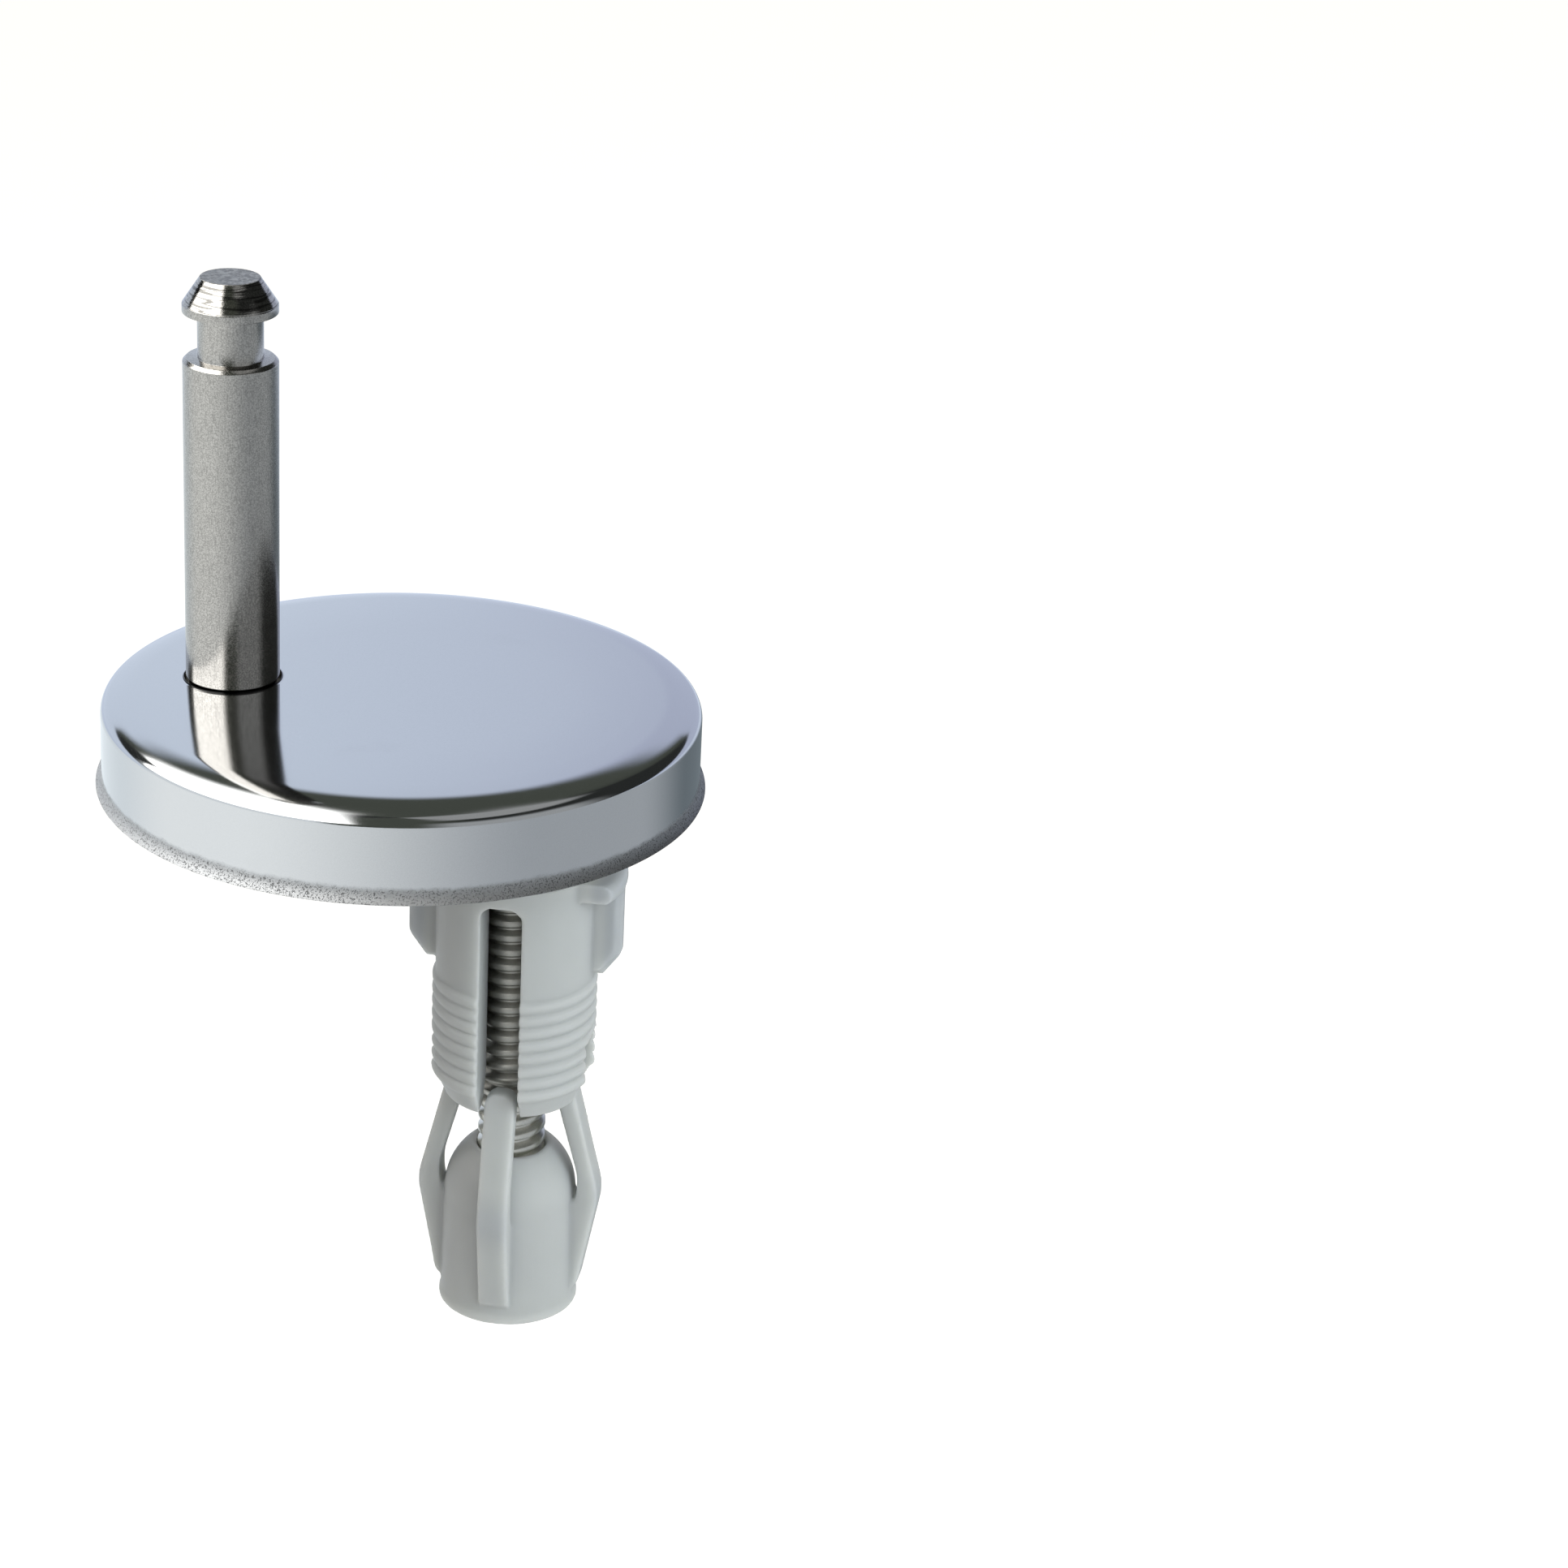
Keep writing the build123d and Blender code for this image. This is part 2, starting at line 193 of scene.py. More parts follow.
class ThreadSizes(bpy.types.PropertyGroup):
    """Sizes of the rolled thread on the fixing screw."""

    radius: length("Radius", "Radius over the thread's crests", 3.0)
    pitch: length("Pitch", "Climb in one turn", 1.4)
    depth: length("Depth", "Height of the teeth", 0.55)
    crest: length("Crest", "Width of the flat crest", 0.52)
    root: length("Root", "Width of the flat root", 0.16)
    crest_round: length("Crest round", "Rounding of the crests' edges", 0.06)
    end_chamfer: length("End chamfer", "Chamfer at the screw's end", 0.8)
    head_start: length("Head start", "Height above the washer from which the solid's head is kept", 0.01)
    head_overlap: length("Head overlap", "Height above the washer at which the thread ends", 0.3)
    steps: count("Steps", "Steps in one turn", 96, 12)


class PlugSizes(bpy.types.PropertyGroup):
    """How the moulded edges of the plug are softened."""

    sleeve_radius: length("Sleeve radius", "Radius over the sleeve's ridges", 7.28)
    grain: length("Grain", "Spacing of the moulded skin's points", 0.16)
    sleeve_rounds: count("Sleeve rounds", "Rounds of smoothing on the sleeve", 2)
    nut_rounds: count("Nut rounds", "Rounds of smoothing on the nut", 12)


class Finishes(bpy.types.PropertyGroup):
    """Colours and gloss of the materials."""

    polished: colour("Polished steel", "Colour of the cover", (0.57, 0.575, 0.585))
    turned: colour("Turned steel", "Colour of the pin", (0.395, 0.38, 0.358))
    screw: colour("Screw steel", "Colour of the screws", (0.42, 0.41, 0.38))
    plated: colour("Plated steel", "Colour of the slider and washer", (0.60, 0.60, 0.59))
    nylon: colour("Natural nylon", "Colour of the plug", (0.46, 0.478, 0.487))
    fins: colour("Thin nylon", "Colour of the plug's thin fins and arms", (0.355, 0.375, 0.41))
    white: colour("White plastic", "Colour of the base plate", (0.70, 0.70, 0.67))
    rubber: colour("Pad rubber", "Colour of the pad", (0.09, 0.09, 0.095))
    polished_gloss: share("Polished roughness", "Roughness of the cover", 0.07)
    turned_gloss: share("Turned roughness", "Roughness of the pin", 0.14)


class StudioSizes(bpy.types.PropertyGroup):
    """Camera, floor and light."""

    camera_right: length("Camera right", "Camera's place along X", 44.24)
    camera_back: length("Camera back", "Camera's place along Y", -316.13)
    camera_high: length("Camera high", "Camera's place along Z", 140.02)
    heading: turn("Heading", "Camera's turn to the left of Y", 3.881)
    pitch: turn("Pitch", "Camera's tilt above level", -23.47)
    roll: turn("Roll", "Camera's roll to the left", 2.995)
    lens: share("Lens", "Focal length in millimetres on a 36 mm sensor", 92.62)
    floor_drop: length("Floor drop", "Gap between the nut and the floor", 26.0)
    floor_size: length("Floor size", "Side of the floor", 8000.0)
    floor_glow: share("Floor glow", "Light that brings the floor up to white for the camera", 0.45)
    sky: share("Sky", "Level of the even light", 0.575)
    key: share("Key", "Power of the soft light on the right, in watts", 4.25)
    key_size: length("Key size", "Width of the soft light", 600.0)
    key_right: length("Key right", "Soft light's place along X", 550.0)
    key_back: length("Key back", "Soft light's place along Y", -450.0)
    key_high: length("Key high", "Soft light's place along Z", 350.0)
    key_colour: colour("Key colour", "Colour of the soft light", (0.89, 0.98, 1.0))


class HingeSettings(bpy.types.PropertyGroup):
    """Everything that a user may change."""

    cover: PointerProperty(type=CoverSizes)
    pin: PointerProperty(type=PinSizes)
    thread: PointerProperty(type=ThreadSizes)
    plug: PointerProperty(type=PlugSizes)
    finish: PointerProperty(type=Finishes)
    studio: PointerProperty(type=StudioSizes)


class Wire:
    """An output socket with arithmetic: an expression on wires and numbers adds its Math nodes."""

    def __init__(self, sheet, socket):
        self.sheet = sheet
        self.socket = socket

    def math(self, operation, first, *others):
        """A Math node on wires and numbers."""
        settings = {"operation": operation}
        return self.sheet.node("ShaderNodeMath", settings, dict(enumerate((first, *others))))

    def __add__(self, other):
        return self.math("ADD", self, other)

    def __radd__(self, other):
        return self.math("ADD", other, self)

    def __sub__(self, other):
        return self.math("SUBTRACT", self, other)

    def __rsub__(self, other):
        return self.math("SUBTRACT", other, self)

    def __mul__(self, other):
        return self.math("MULTIPLY", self, other)

    def __abs__(self):
        return self.math("ABSOLUTE", self)

    def either(self, other):
        """The larger of two masks."""
        return self.math("MAXIMUM", self, other)


class Sheet:
    """The node tree of one material, or of the world."""

    def __init__(self, owner):
        owner.use_nodes = True
        self.tree = owner.node_tree
        self.tree.nodes.clear()

    def node(self, kind, settings=None, sockets=None, output=0):
        """Add a node: its settings first, then the values or wires of its sockets."""
        made = self.tree.nodes.new(kind)
        for name, value in (settings or {}).items():
            setattr(made, name, value)
        for key, value in (sockets or {}).items():
            if isinstance(value, Wire):
                self.tree.links.new(value.socket, made.inputs[key])
            else:
                made.inputs[key].default_value = value
        return Wire(self, made.outputs[output] if made.outputs else None)

    def place(self):
        """The point on the piece, in metres."""
        return self.node("ShaderNodeTexCoord", output="Object")

    def part(self, vector, axis):
        """One number of a vector."""
        return self.node("ShaderNodeSeparateXYZ", sockets={0: vector}, output=axis)

    def reach(self, vector, axis_x):
        """The distance from an upright axis."""
        across = self.part(vector, "X") - axis_x
        along = self.part(vector, "Y")
        square = across * across + along * along
        return square.math("SQRT", square)

    def bearing(self, first, second):
        """The angle of two lengths at right angles, in degrees: 0 along the second, 90 along the first."""
        return first.math("ARCTAN2", first, second) * DEGREES

    def stretched(self, vector, scale):
        """A vector with each number scaled, so that a pattern on it grows longer one way."""
        return self.node("ShaderNodeMapping", sockets={"Vector": vector, "Scale": scale})

    def noise(self, vector, scale, detail, roughness=0.5):
        """Even noise from 0 to 1, with about scale grains to the metre."""
        sockets = {"Vector": vector, "Scale": scale, "Detail": detail, "Roughness": roughness}
        return self.node("ShaderNodeTexNoise", sockets=sockets)

    def rise(self, value, start, end):
        """A soft step: 0 at start and 1 at end."""
        sockets = {"Value": value, "From Min": start, "From Max": end}
        return self.node("ShaderNodeMapRange", {"interpolation_type": "SMOOTHSTEP"}, sockets)

    def fall(self, value, start, end):
        """A soft step: 1 at start and 0 at end."""
        return 1.0 - self.rise(value, start, end)

    def band(self, value, rising, falling):
        """A mask that rises over the first pair of values and falls over the second."""
        return self.rise(value, *rising) * self.fall(value, *falling)

    def ray_is(self, kind):
        """A mask of the rays of one kind, such as Camera."""
        return self.node("ShaderNodeLightPath", output=f"Is {kind} Ray")

    def mix(self, factor, first, second):
        """A blend of two colours."""
        sockets = {0: factor, 6: rgba(first), 7: rgba(second)}
        return self.node("ShaderNodeMix", {"data_type": "RGBA"}, sockets, output=2)

    def blend(self, factor, first, second):
        """A blend of two shaders."""
        return self.node("ShaderNodeMixShader", sockets={0: factor, 1: first, 2: second})

    def bump(self, height, distance, strength=1.0, normal=None):
        """A surface normal from a height between 0 and 1, distance metres deep."""
        sockets = {"Height": height, "Distance": distance, "Strength": strength}
        if normal:
            sockets["Normal"] = normal
        return self.node("ShaderNodeBump", sockets=sockets)

    def surface(self, sockets):
        """A Principled surface as the tree's result."""
        shader = self.node("ShaderNodeBsdfPrincipled", sockets=sockets)
        self.node("ShaderNodeOutputMaterial", sockets={"Surface": shader})


def rgba(value):
    """A colour for a socket: three numbers gain an alpha of 1, and a wire stays as it is."""
    return value if isinstance(value, Wire) else (*value, 1.0)


def scaled(value, factor):
    """A colour made lighter or darker."""
    return tuple(channel * factor for channel in value)


def new_sheet(name):
    """A material with an empty node tree."""
    material = bpy.data.materials.new(name)
    return material, Sheet(material)


def polished_steel(finish, hole_radius):
    """Mirror-polished sheet with a fine grain, faint smudges, a mottled rim and painted shade: a near-black
    line round its hole.
    """
    material, sheet = new_sheet("polished_steel")
    place = sheet.place()
    height = sheet.part(place, "Z")
    # Painted shade: the sheet turns near black within a tenth of a millimetre of the pin's hole, in place of
    # the shadowed clearance round the pin.
    gap_shade = sheet.fall(sheet.reach(place, pin_x), hole_radius + 0.07 * MM, hole_radius + 0.12 * MM)
    grain = sheet.noise(place, scale=9000.0, detail=3.0, roughness=0.7)
    patches = sheet.noise(place, scale=900.0, detail=3.0, roughness=0.6)
    specks = sheet.rise(sheet.noise(place, scale=6500.0, detail=2.0, roughness=0.6), 0.50, 0.64)
    smudges = sheet.rise(sheet.noise(place, scale=130.0, detail=3.0, roughness=0.6), 0.60, 0.74)
    rim_top = 1.3 * MM + patches * (0.55 * MM)
    rim = sheet.fall(height - rim_top, -0.35 * MM, 0.25 * MM)
    clean = sheet.mix(grain, scaled(finish.polished, 0.94), scaled(finish.polished, 1.06))
    dull = sheet.mix(specks, scaled(finish.polished, 0.64), scaled(finish.polished, 0.22))
    # The painted shade at the hole goes over the clean and rim colours.
    base = sheet.mix(gap_shade, sheet.mix(rim * 0.85, clean, dull), (0.01, 0.01, 0.01))
    rough = finish.polished_gloss + grain * 0.03 + smudges * 0.07 + rim * (0.50 + specks * 0.15)
    relief = sheet.bump(grain, distance=0.0006 * MM)
    relief = sheet.bump(rim * specks, distance=0.02 * MM, strength=0.7, normal=relief)
    sheet.surface({"Base Color": base, "Metallic": 1.0, "Roughness": rough, "Normal": relief})
    return material


def turned_steel(finish, foot_level, neck_level, cone_level):
    """Satin turned steel with pits and flecks, turning lines on the head's cone and a dull flat end, and
    painted shade: a black ring at the foot where it leaves the cover and a dark line on the neck under the
    head.
    """
    material, sheet = new_sheet("turned_steel")
    place = sheet.place()
    height = sheet.part(place, "Z")
    pits = sheet.rise(sheet.noise(place, scale=8500.0, detail=2.0, roughness=0.6), 0.34, 0.66)
    upright = sheet.stretched(place, (1.0, 1.0, 0.12))
    flecks = sheet.rise(sheet.noise(upright, scale=7500.0, detail=2.0), 0.56, 0.68)
    shade = sheet.noise(place, scale=600.0, detail=2.0)
    # Painted shade: near black from just above the cover downwards, in place of the shadowed clearance where
    # the pin leaves the cover's hole.
    gap_shade = sheet.fall(height, foot_level + 0.04 * MM, foot_level + 0.14 * MM)
    end = sheet.rise(height, pin_high.z - 0.06 * MM, pin_high.z - 0.02 * MM)
    cone = sheet.rise(height, cone_level + 0.06 * MM, cone_level + 0.10 * MM) * (1.0 - end)
    level = sheet.stretched(place, (0.05, 0.05, 1.0))
    rings = sheet.noise(level, scale=3400.0, detail=1.0)
    lines = sheet.fall(abs(rings - 0.5), 0.02, 0.06)
    # Painted shade: a dark line on the neck just under the head, where the inside corner is in shadow.
    head_crease_shade = sheet.band(height - neck_level, (-0.11 * MM, -0.06 * MM), (-0.01 * MM, 0.0))
    frost = sheet.rise(sheet.noise(place, scale=2100.0, detail=3.0, roughness=0.7), 0.40, 0.62)
    base = sheet.mix(pits, scaled(finish.turned, 0.74), scaled(finish.turned, 1.24))
    base = sheet.mix(flecks * 0.5, base, scaled(finish.turned, 0.60))
    base = sheet.mix(end, base, sheet.mix(frost, scaled(finish.turned, 0.48), scaled(finish.turned, 1.0)))
    base = sheet.mix(lines * cone * 0.8, base, scaled(finish.turned, 0.2))
    # Both painted shades darken the colour to near black.
    base = sheet.mix(gap_shade.either(head_crease_shade * 0.8), base, (0.008, 0.008, 0.008))
    rough = finish.turned_gloss + pits * 0.07 + shade * 0.05 - cone * 0.09 + end * 0.18
    relief = sheet.bump(pits - flecks * 0.5, distance=0.0014 * MM, strength=0.7)
    relief = sheet.bump(rings * cone + frost * end * 0.4, distance=0.03 * MM, strength=1.0, normal=relief)
    sheet.surface({"Base Color": base, "Metallic": 1.0, "Roughness": rough, "Normal": relief})
    return material


def rolled_steel(finish):
    """Warm grey screw steel, a little stippled and rougher inside the sleeve, with painted shade inside the
    sleeve and a painted lit, lighter copy below it.
    """
    material, sheet = new_sheet("screw_steel")
    place = sheet.place()
    stipple = sheet.noise(place, scale=8000.0, detail=2.0, roughness=0.6)
    # Painted light and shade: the mask is 1 below the sleeve's foot, where the end is lit, and 0 inside the
    # sleeve, where the sleeve shades the thread.
    lit_below_sleeve = sheet.fall(sheet.part(place, "Z"), sleeve_foot - MM, sleeve_foot + MM)
    # dull is the painted shaded copy of the colour and bright the painted lit copy.
    dull = sheet.mix(stipple, scaled(finish.screw, 0.66), scaled(finish.screw, 1.02))
    bright = sheet.mix(stipple, scaled(finish.screw, 1.25), scaled(finish.screw, 1.9))
    base = sheet.mix(lit_below_sleeve, dull, bright)
    rough = 0.41 + stipple * 0.08 - lit_below_sleeve * 0.14
    relief = sheet.bump(stipple, distance=0.002 * MM, strength=0.6)
    sheet.surface({"Base Color": base, "Metallic": 1.0, "Roughness": rough, "Normal": relief})
    return material


def plated_steel(finish):
    """Zinc-plated stamping with a faint rolled grain."""
    material, sheet = new_sheet("plated_steel")
    place = sheet.place()
    rolled = sheet.stretched(place, (0.12, 1.0, 1.0))
    grain = sheet.noise(rolled, scale=5000.0, detail=3.0, roughness=0.6)
    cloud = sheet.noise(place, scale=350.0, detail=2.0)
    base = sheet.mix(cloud, scaled(finish.plated, 0.85), scaled(finish.plated, 1.1))
    rough = 0.26 + grain * 0.12
    relief = sheet.bump(grain, distance=0.004 * MM, strength=0.5)
    sheet.surface({"Base Color": base, "Metallic": 1.0, "Roughness": rough, "Normal": relief})
    return material


def natural_nylon(finish, sleeve_radius):
    """Milky nylon that light soaks into, cooler where it is thin, with a matt skin and a few specks."""
    material, sheet = new_sheet("natural_nylon")
    place = sheet.place()
    skin = sheet.noise(place, scale=4200.0, detail=3.0, roughness=0.6)
    cloud = sheet.noise(place, scale=160.0, detail=2.0)
    thin = sheet.rise(sheet.reach(place, 0.0), sleeve_radius + 0.3 * MM, sleeve_radius + 1.3 * MM)
    base = sheet.mix(cloud, scaled(finish.nylon, 0.94), scaled(finish.nylon, 1.05))
    base = sheet.mix(thin * 0.8, base, finish.fins)
    specks = sheet.rise(sheet.noise(place, scale=1500.0, detail=1.0), 0.83, 0.86)
    base = sheet.mix(specks * 0.6, base, scaled(finish.nylon, 0.3))
    relief = sheet.bump(skin, distance=0.006 * MM, strength=0.5)
    sheet.surface(
        {
            "Base Color": base,
            "Roughness": 0.46 + skin * 0.08,
            "IOR": 1.53,
            "Subsurface Weight": 0.95,
            "Subsurface Radius": (1.0, 1.0, 0.9),
            "Subsurface Scale": 3.2 * MM,
            "Normal": relief,
        }
    )
    return material


def white_plastic(finish):
    """Moulded white plastic with a fine matt skin."""
    material, sheet = new_sheet("white_plastic")
    place = sheet.place()
    skin = sheet.noise(place, scale=3800.0, detail=3.0, roughness=0.6)
    cloud = sheet.noise(place, scale=200.0, detail=2.0)
    base = sheet.mix(cloud, scaled(finish.white, 0.95), scaled(finish.white, 1.03))
    relief = sheet.bump(skin, distance=0.008 * MM, strength=0.5)
    sheet.surface({"Base Color": base, "Roughness": 0.45 + skin * 0.1, "IOR": 1.5, "Normal": relief})
    return material


def pad_rubber(finish):
    """Soft matt rubber with an open grain."""
    material, sheet = new_sheet("pad_rubber")
    place = sheet.place()
    grain = sheet.noise(place, scale=3000.0, detail=4.0, roughness=0.7)
    cloud = sheet.noise(place, scale=300.0, detail=2.0)
    base = sheet.mix(cloud, scaled(finish.rubber, 0.8), scaled(finish.rubber, 1.25))
    relief = sheet.bump(grain, distance=0.03 * MM, strength=0.6)
    sheet.surface({"Base Color": base, "Roughness": 0.72 + grain * 0.15, "Normal": relief})
    return material


def arc(centre, radius, start, end, steps):
    """Points of a round corner, at angles from start to end in degrees."""
    angles = [radians(start + (end - start) * index / steps) for index in range(steps + 1)]
    return [(centre[0] + radius * cos(angle), centre[1] + radius * sin(angle)) for angle in angles]


def spun(mesh, outline, axis_x, steps):
    """Turn an open outline of radius and height once round an upright axis."""
    points = [mesh.verts.new((axis_x + radius, 0.0, height)) for radius, height in outline]
    edges = [mesh.edges.new(pair) for pair in zip(points, points[1:])]
    bmesh.ops.spin(
        mesh,
        geom=points + edges,
        cent=(axis_x, 0.0, 0.0),
        axis=(0.0, 0.0, 1.0),
        angle=FULL_TURN,
        steps=steps,
        use_merge=True,
    )


def open_rings(mesh):
    """The open edges of a mesh, as one list for each level, lowest first."""
    rings = {}
    for edge in mesh.edges:
        if edge.is_boundary or edge.is_wire:
            level = round(edge.verts[0].co.z / MM, 3)
            rings.setdefault(level, []).append(edge)
    return [rings[level] for level in sorted(rings)]


def ring(mesh, axis_x, level, radius, steps):
    """A bare circle of edges."""
    place = Matrix.Translation((axis_x, 0.0, level))
    made = bmesh.ops.create_circle(mesh, radius=radius, segments=steps, matrix=place)
    return list({edge for vert in made["verts"] for edge in vert.link_edges})


def round_edges(mesh, limit, offset, segments=2):
    """Bevel each edge that turns by more than limit."""
    edges = [edge for edge in mesh.edges if edge.is_manifold and edge.calc_face_angle() > limit]
    bmesh.ops.bevel(
        mesh,
        geom=edges,
        offset=offset,
        offset_type="OFFSET",
        affect="EDGES",
        segments=segments,
        profile=0.5,
        material=-1,
        clamp_overlap=True,
    )


def cut(mesh, level, keep):
    """Cut a closed mesh at a level and close it again, with keep 1 for its upper part, -1 for its lower."""
    everything = mesh.verts[:] + mesh.edges[:] + mesh.faces[:]
    result = bmesh.ops.bisect_plane(
        mesh,
        geom=everything,
        plane_co=(0.0, 0.0, level),
        plane_no=(0.0, 0.0, keep),
        clear_inner=True,
    )
    edges = [item for item in result["geom_cut"] if isinstance(item, bmesh.types.BMEdge)]
    bmesh.ops.edgeloop_fill(mesh, edges=edges)


def copy_of(node):
    """A merged copy of a solid's mesh."""
    mesh = bmesh.new()
    mesh.from_mesh(frame["nodes"][node].data)
    bmesh.ops.remove_doubles(mesh, verts=mesh.verts, dist=SAME_POINT)
    return mesh


def as_piece(mesh, name, node, material):
    """Write a mesh out as the piece that stands for a solid and rides on its body."""
    bmesh.ops.recalc_face_normals(mesh, faces=mesh.faces)
    for face in mesh.faces:
        face.smooth = True
    for edge in mesh.edges:
        edge.smooth = edge.is_manifold and edge.calc_face_angle() < SHARP_EDGE
    data = bpy.data.meshes.new(name)
    mesh.to_mesh(data)
    mesh.free()
    data.materials.append(material)
    piece = bpy.data.objects.new(name, data)
    bpy.context.scene.collection.objects.link(piece)
    stand_in(piece, node)
    even = piece.modifiers.new("even shading", "WEIGHTED_NORMAL")
    even.keep_sharp = True


def stand_in(piece, node):
    """Let a piece ride on a solid's body and show in its place."""
    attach(piece, BODY_OF[node])
    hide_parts(node)


class HINGE_OT_cover(bpy.types.Operator):
    """Make the pressed and polished cover"""

    bl_idname = "hinge.cover"
    bl_label = "Pressed cover"

    def execute(self, context):
        settings = context.scene.seat_hinge
        sizes = settings.cover
        mesh = bmesh.new()
        spun(mesh, self.outline(sizes), cover_x, sizes.steps)
        lower, upper = open_rings(mesh)
        hole = self.crowned(mesh, sizes, upper, inset=0.0)
        hole += self.crowned(mesh, sizes, lower, inset=sizes.sheet)
        bmesh.ops.bridge_loops(mesh, edges=hole)
        round_edges(mesh, CUT_EDGE, sizes.edge_round, segments=3)
        finish = polished_steel(settings.finish, sizes.hole_radius)
        as_piece(mesh, "cover_pressing", "cover_disc", finish)
        return {"FINISHED"}

    def slow_radius(self, sizes, inset):
        """The radius of the slow curve on one side of the sheet."""
        corner = sizes.corner_radius - inset
        bend = sizes.shoulder_radius - inset
        end = sizes.wall_radius - sizes.corner_radius + corner * sin(sizes.shoulder_slope)
        start = end - bend * (sin(sizes.shoulder_slope) - sin(sizes.crown_slope))
        return (start - sizes.crown_flat) / sin(sizes.crown_slope)

    def crowned(self, mesh, sizes, rim, inset):
        """Close one side of the sheet with rings that shrink from its rim to the pin's hole."""
        curve = self.slow_radius(sizes, inset)
        first = sizes.hole_radius + 3 * sizes.edge_round
        rings = [(pin_x, sizes.hole_radius), (pin_x, first)]
        for index in range(1, sizes.crown_rings + 1):
            part = index / sizes.crown_rings
            reach = first + (sizes.crown_reach - first) * part
            rings.append((pin_x + (cover_x - pin_x) * part, reach))
        loops = []
        for centre_x, radius in rings:
            loop = ring(mesh, centre_x, cover_high.z - inset, radius, sizes.steps)
            for vert in {vert for edge in loop for vert in edge.verts}:
                reach = Vector((vert.co.x - cover_x, vert.co.y)).length
                beyond = max(reach - sizes.crown_flat, 0.0)
                vert.co.z -= curve - (curve * curve - beyond * beyond) ** 0.5
            loops.append(loop)
        for inner, outer in zip(loops, loops[1:] + [rim]):
            bmesh.ops.bridge_loops(mesh, edges=inner + outer)
        return loops[0]

    def outline(self, sizes):
        """Half section of the sheet, from its top round the lip to its ceiling."""
        flare = cover_high.x - cover_x - sizes.wall_radius
        lip = cover_low.z + sizes.lip_height
        bend = (flare * flare + sizes.lip_height * sizes.lip_height) / (2 * flare)
        swing = 180 - atan2(sizes.lip_height, flare - bend) * DEGREES
        outer = self.shoulder(sizes, inset=0.0, steps=sizes.outer_steps)
        outer += arc((sizes.wall_radius + bend, lip), bend, 180, 180 + swing, sizes.inner_steps)
        inner_wall = sizes.wall_radius - sizes.sheet
        inner = arc((inner_wall + bend, lip), bend, 180 + swing, 180, sizes.inner_steps)
        inner += reversed(self.shoulder(sizes, inset=sizes.sheet, steps=sizes.inner_steps))
        return outer + inner

    def shoulder(self, sizes, inset, steps):
        """The slow curve, shoulder and corner of one side of the sheet, from the top to the wall."""
        curve = self.slow_radius(sizes, inset)
        start = sizes.crown_reach + sizes.crown_join
        first_slope = asin((start - sizes.crown_flat) / curve)
        slopes = (first_slope, sizes.crown_slope, sizes.shoulder_slope, pi / 2)
        radii = (curve, sizes.shoulder_radius - inset, sizes.corner_radius - inset)
        centre = (sizes.crown_flat, cover_high.z - inset - curve)
        points = []
        for index, radius in enumerate(radii):
            first, last = (90 - slope * DEGREES for slope in slopes[index:index + 2])
            points = points[:-1] + arc(centre, radius, first, last, steps)
            if radius != radii[-1]:
                slope = slopes[index + 1]
                shift = radius - radii[index + 1]
                centre = (centre[0] + shift * sin(slope), centre[1] + shift * cos(slope))
        return points


class HINGE_OT_pin(bpy.types.Operator):
    """Make the turned pin with its snap neck and coned head"""

    bl_idname = "hinge.pin"
    bl_label = "Turned pin"

    def execute(self, context):
        settings = context.scene.seat_hinge
        sizes = settings.pin
        radius = (pin_high.x - pin_low.x) / 2
        top = pin_high.z
        band_top = top - sizes.cone_height
        neck_top = band_top - sizes.band_height
        shoulder = neck_top - sizes.neck_length
        journal_low = cover_high.z + sizes.foot_show
        tapped_end = pin_screw_top + sizes.tapped_spare
        outline = [
            (sizes.tapped_radius, tapped_end),
            (sizes.tapped_radius, pin_low.z),
            (sizes.foot_radius - sizes.chamfer, pin_low.z),
            (sizes.foot_radius, pin_low.z + sizes.chamfer),
            (sizes.foot_radius, journal_low),
            (radius, journal_low),
            (radius, shoulder - sizes.chamfer),
            (radius - sizes.chamfer, shoulder),
            (sizes.neck_radius, shoulder),
            (sizes.neck_radius, neck_top),
            (radius, neck_top),
            (radius, band_top),
            (sizes.tip_radius, top),
        ]
        mesh = bmesh.new()
        spun(mesh, outline, pin_x, sizes.steps)
        bmesh.ops.holes_fill(mesh, edges=[edge for edge in mesh.edges if edge.is_boundary], sides=0)
        round_edges(mesh, TURNED_EDGE, sizes.edge_round)
        finish = turned_steel(settings.finish, journal_low, neck_top, band_top)
        as_piece(mesh, "turned_pin", "hinge_pin", finish)
        return {"FINISHED"}


